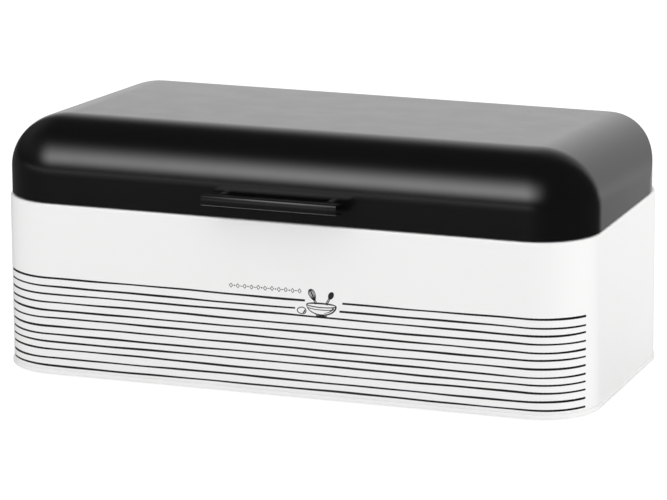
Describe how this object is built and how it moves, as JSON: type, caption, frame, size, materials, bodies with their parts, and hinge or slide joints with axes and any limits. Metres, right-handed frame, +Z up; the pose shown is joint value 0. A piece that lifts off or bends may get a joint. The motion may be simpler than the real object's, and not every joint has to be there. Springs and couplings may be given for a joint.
{
  "type": "bread box",
  "caption": "Sheet steel bread box: a white base with rounded corners and thin black lines, and a black domed lid with a bar handle that lifts at the front on rear hinges.",
  "frame": {"origin": "middle of the whole footprint, on the surface that the rubber feet stand on", "axes": "+X along the box to the right as seen from the front, +Y to the back where the hinges are, +Z up"},
  "size_m": [0.4216, 0.2296, 0.1764],
  "materials": {
    "white_enamel": "satin enamel",
    "black_enamel": "matt enamel",
    "handle_black": "satin enamel",
    "plated_steel": "plated",
    "rubber": "matt"
  },
  "bodies": {
    "base": {"base_wrap": "white_enamel", "base_back_panel": "white_enamel", "base_floor": "white_enamel", "foot_front_left": "rubber", "foot_front_right": "rubber", "foot_rear_left": "rubber", "foot_rear_right": "rubber", "hinge_base_leaf_left": "plated_steel", "hinge_base_leaf_right": "plated_steel", "hinge_pin_left": "plated_steel", "hinge_pin_right": "plated_steel", "base_hinge_rivets": "plated_steel"},
    "lid": {"lid_shell": "black_enamel", "lid_back_panel": "black_enamel", "hinge_lid_leaf_left": "plated_steel", "hinge_lid_leaf_right": "plated_steel", "lid_hinge_rivets": "plated_steel", "handle_bar": "handle_black", "handle_post_left": "handle_black", "handle_post_right": "handle_black", "handle_screw_left": "plated_steel", "handle_screw_right": "plated_steel", "handle_washer_left": "plated_steel", "handle_washer_right": "plated_steel"}
  },
  "joints": [
    {"name": "lid_hinge", "type": "hinge", "parent": "base", "child": "lid", "pos_m": [0, 0.1096, 0.1211], "axis": [-1, 0, 0], "range_deg": [0, 100]}
  ]
}
